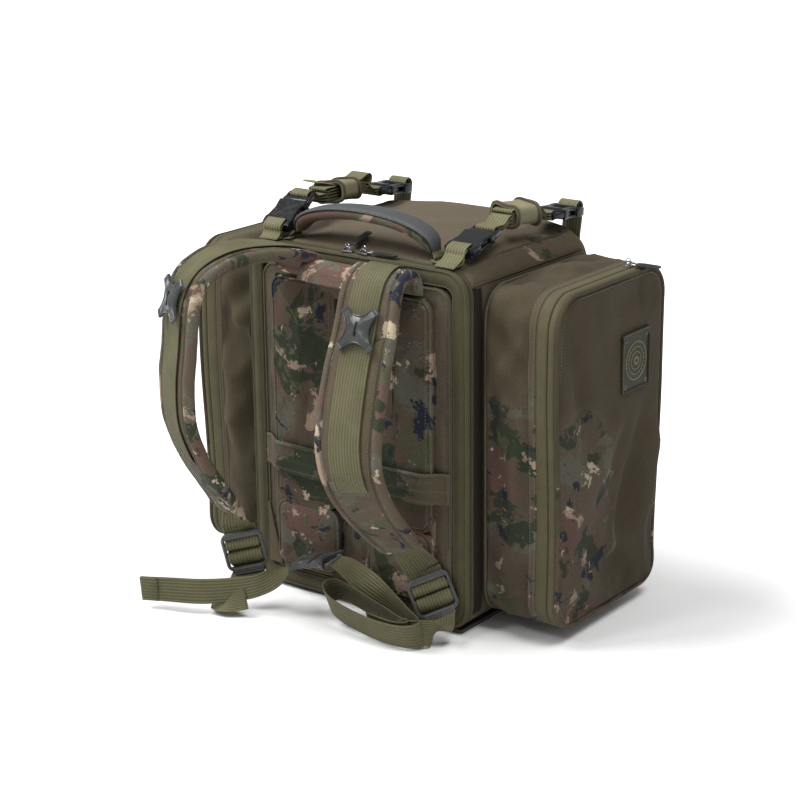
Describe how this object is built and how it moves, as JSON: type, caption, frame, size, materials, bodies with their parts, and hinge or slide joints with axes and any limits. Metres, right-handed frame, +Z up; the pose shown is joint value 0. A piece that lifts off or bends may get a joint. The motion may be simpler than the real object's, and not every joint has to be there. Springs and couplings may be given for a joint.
{
  "type": "tackle backpack",
  "caption": "Boxy camouflage fishing backpack with zipped side pockets, a fold-down harness panel, shoulder straps, waist belt, carry handle and buckled top straps.",
  "frame": {"origin": "centre of the underside of the main bag's base panel", "axes": "+X towards the wearer's right pocket, -Y out of the harness panel towards the wearer, +Z up"},
  "size_m": [0.5236, 0.4209, 0.4495],
  "materials": {
    "plain_cloth": "coarse plain-weave polyester, matt",
    "camo_cloth": null,
    "binding_tape": "folded olive binding and covered zip tape, matt",
    "webbing": "ribbed olive webbing, low sheen",
    "black_plastic": "moulded, satin",
    "grey_plastic": "moulded, satin",
    "soft_grip": "soft-touch, matt",
    "zip_metal": "bright plated",
    "stiffener_board": "sheet",
    "base_rubber": "coated base, matt",
    "badge_rubber": "moulded patch, matt"
  },
  "bodies": {
    "bag": {"base_board": "stiffener_board", "base_panel": "base_rubber", "inner_divider": "plain_cloth", "left_far_socket": "black_plastic", "left_front_web": "webbing", "left_keeper_sleeve": "plain_cloth", "left_near_socket": "black_plastic", "left_pocket_shell": "camo_cloth", "left_pocket_zip": "binding_tape", "left_rear_web": "webbing", "left_strap_roll": "webbing", "main_shell": "plain_cloth", "main_zip_frame": "binding_tape", "right_far_socket": "black_plastic", "right_front_web": "webbing", "right_keeper_sleeve": "plain_cloth", "right_near_socket": "black_plastic", "right_pocket_shell": "camo_cloth", "right_pocket_zip": "binding_tape", "right_rear_web": "webbing", "right_strap_roll": "webbing"},
    "harness": {"harness_panel": "plain_cloth", "trolley_band": "plain_cloth", "strap_yoke": "camo_cloth", "waist_web_right": "webbing", "waist_clasp_right": "grey_plastic", "right_back_pad": "camo_cloth", "right_lumbar_pad": "camo_cloth", "right_strap_pad": "camo_cloth", "right_strap_web": "webbing", "right_strap_clasp": "grey_plastic", "right_lower_web": "webbing", "right_gusset_tab": "plain_cloth", "left_back_pad": "camo_cloth", "left_lumbar_pad": "camo_cloth", "left_strap_pad": "camo_cloth", "left_strap_web": "webbing", "left_strap_clasp": "grey_plastic", "left_lower_web": "webbing", "left_gusset_tab": "plain_cloth"},
    "carry_handle": {"carry_handle": "soft_grip"},
    "right_pocket_door": {"right_pocket_door": "plain_cloth", "side_badge": "badge_rubber"},
    "right_pocket_slider": {"right_pocket_slider": "zip_metal"},
    "right_pocket_pull": {"right_pocket_pull": "grey_plastic"},
    "main_slider_right": {"main_slider_right": "zip_metal"},
    "main_pull_right": {"main_pull_right": "grey_plastic"},
    "right_near_plug": {"right_near_plug": "black_plastic"},
    "right_far_plug": {"right_far_plug": "black_plastic"},
    "right_ladder_lock": {"right_ladder_lock": "grey_plastic"},
    "left_pocket_door": {"left_pocket_door": "plain_cloth"},
    "left_pocket_slider": {"left_pocket_slider": "zip_metal"},
    "left_pocket_pull": {"left_pocket_pull": "grey_plastic"},
    "main_slider_left": {"main_slider_left": "zip_metal"},
    "main_pull_left": {"main_pull_left": "grey_plastic"},
    "left_near_plug": {"left_near_plug": "black_plastic"},
    "left_far_plug": {"left_far_plug": "black_plastic"},
    "left_ladder_lock": {"left_ladder_lock": "grey_plastic"},
    "waist_free_end": {"waist_clasp_left": "grey_plastic", "waist_web_left": "webbing"}
  },
  "joints": [
    {"name": "harness_fold", "type": "hinge", "parent": "bag", "child": "harness", "pos_m": [0, -0.1165, 0.024], "axis": [1, 0, 0], "range_deg": [0, 100]},
    {"name": "handle_swing", "type": "hinge", "parent": "bag", "child": "carry_handle", "pos_m": [0, -0.094, 0.411], "axis": [-1, 0, 0], "range_deg": [-45, 55]},
    {"name": "right_pocket_fold", "type": "hinge", "parent": "bag", "child": "right_pocket_door", "pos_m": [0.2292, 0, 0.0184], "axis": [0, 1, 0], "range_deg": [0, 88]},
    {"name": "right_pocket_zip_run", "type": "slide", "parent": "bag", "child": "right_pocket_slider", "axis": [0, -1, 0], "range_m": [0, 0.115]},
    {"name": "right_pocket_pull_swing", "type": "hinge", "parent": "right_pocket_slider", "child": "right_pocket_pull", "pos_m": [0.2306, 0.069, 0.38415], "axis": [0, -1, 0], "range_deg": [0, 90]},
    {"name": "main_zip_run_right", "type": "slide", "parent": "bag", "child": "main_slider_right", "axis": [1, 0, 0], "range_m": [0, 0.05]},
    {"name": "left_pocket_fold", "type": "hinge", "parent": "bag", "child": "left_pocket_door", "pos_m": [-0.2292, 0, 0.0184], "axis": [0, -1, 0], "range_deg": [0, 88]},
    {"name": "left_pocket_zip_run", "type": "slide", "parent": "bag", "child": "left_pocket_slider", "axis": [0, -1, 0], "range_m": [0, 0.115]},
    {"name": "left_pocket_pull_swing", "type": "hinge", "parent": "left_pocket_slider", "child": "left_pocket_pull", "pos_m": [-0.2306, 0.069, 0.38415], "axis": [0, 1, 0], "range_deg": [0, 90]},
    {"name": "main_zip_run_left", "type": "slide", "parent": "bag", "child": "main_slider_left", "axis": [-1, 0, 0], "range_m": [0, 0.05]},
    {"name": "main_pull_swing_right", "type": "hinge", "parent": "main_slider_right", "child": "main_pull_right", "pos_m": [0.0192, -0.1117, 0.4039], "axis": [0, -1, 0], "range_deg": [0, 90]},
    {"name": "main_pull_swing_left", "type": "hinge", "parent": "main_slider_left", "child": "main_pull_left", "pos_m": [-0.0105, -0.1062, 0.4059], "axis": [1, 0, 0], "range_deg": [0, 90]},
    {"name": "right_near_buckle_release", "type": "slide", "parent": "bag", "child": "right_near_plug", "axis": [0, 0.9681, 0.2504], "range_m": [0, 0.02]},
    {"name": "right_far_buckle_release", "type": "slide", "parent": "bag", "child": "right_far_plug", "axis": [0, -0.9976, 0.0698], "range_m": [0, 0.02]},
    {"name": "left_near_buckle_release", "type": "slide", "parent": "bag", "child": "left_near_plug", "axis": [0, 0.8572, 0.515], "range_m": [0, 0.02]},
    {"name": "left_far_buckle_release", "type": "slide", "parent": "bag", "child": "left_far_plug", "axis": [0, -0.9976, 0.0698], "range_m": [0, 0.02]},
    {"name": "waist_clasp_release", "type": "slide", "parent": "harness", "child": "waist_free_end", "axis": [-0.9659, 0, -0.2588], "range_m": [0, 0.012]},
    {"name": "right_lock_tilt", "type": "hinge", "parent": "harness", "child": "right_ladder_lock", "pos_m": [0.10282, -0.13623, 0.07409], "axis": [0.7025, 0.6207, 0.3482], "range_deg": [-14, 0]},
    {"name": "left_lock_tilt", "type": "hinge", "parent": "harness", "child": "left_ladder_lock", "pos_m": [-0.11242, -0.18571, 0.09131], "axis": [0.8177, 0.5306, 0.2233], "range_deg": [-14, 0]}
  ]
}
